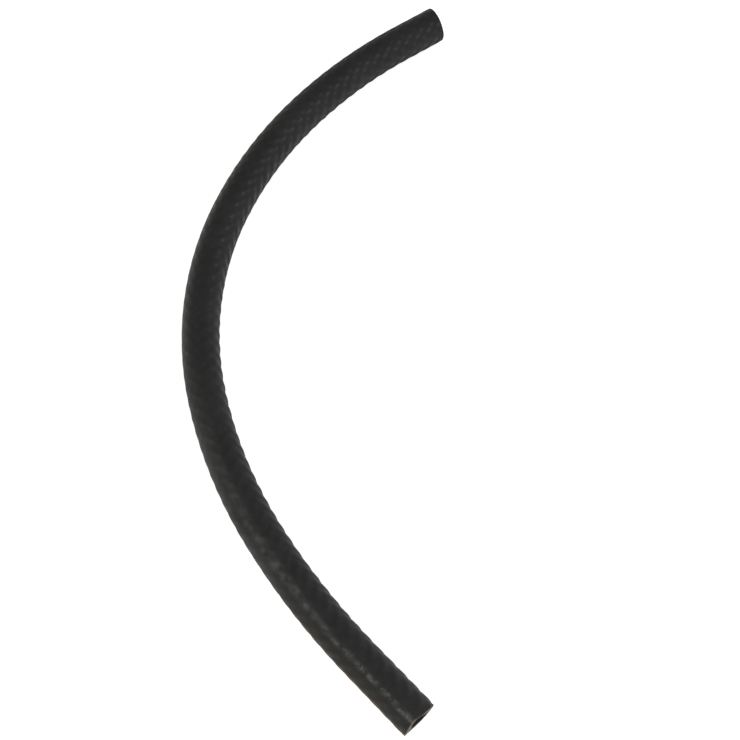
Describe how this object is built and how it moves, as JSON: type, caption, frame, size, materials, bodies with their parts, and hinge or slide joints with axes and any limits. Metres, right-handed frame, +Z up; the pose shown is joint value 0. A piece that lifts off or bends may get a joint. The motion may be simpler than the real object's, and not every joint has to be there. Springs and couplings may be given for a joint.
{
  "type": "braided rubber hose",
  "caption": "Short cut length of black rubber hose with a hidden textile braid, lying flat in a long C bend, with plain open ends that push over barbed fittings.",
  "frame": {"origin": "middle of the hose's footprint, on the surface that it lies on", "axes": "+Z up, +Y towards the hose's far end, +X towards the open side of the bend"},
  "size_m": [0.0858, 0.251, 0.012],
  "materials": {
    "tube_rubber": "matt black rubber, smooth from its mandrel",
    "cover_rubber": "matt black rubber that shows the braid under it as low diamonds",
    "braid_yarn": "flat spun yarn, undyed"
  },
  "bodies": {
    "root": {"inner_tube": "tube_rubber", "outer_cover": "cover_rubber", "right_yarn_01": "braid_yarn", "right_yarn_02": "braid_yarn", "right_yarn_03": "braid_yarn", "right_yarn_04": "braid_yarn", "right_yarn_05": "braid_yarn", "right_yarn_06": "braid_yarn", "right_yarn_07": "braid_yarn", "right_yarn_08": "braid_yarn", "right_yarn_09": "braid_yarn", "right_yarn_10": "braid_yarn", "right_yarn_11": "braid_yarn", "right_yarn_12": "braid_yarn", "left_yarn_01": "braid_yarn", "left_yarn_02": "braid_yarn", "left_yarn_03": "braid_yarn", "left_yarn_04": "braid_yarn", "left_yarn_05": "braid_yarn", "left_yarn_06": "braid_yarn", "left_yarn_07": "braid_yarn", "left_yarn_08": "braid_yarn", "left_yarn_09": "braid_yarn", "left_yarn_10": "braid_yarn", "left_yarn_11": "braid_yarn", "left_yarn_12": "braid_yarn"}
  },
  "joints": []
}
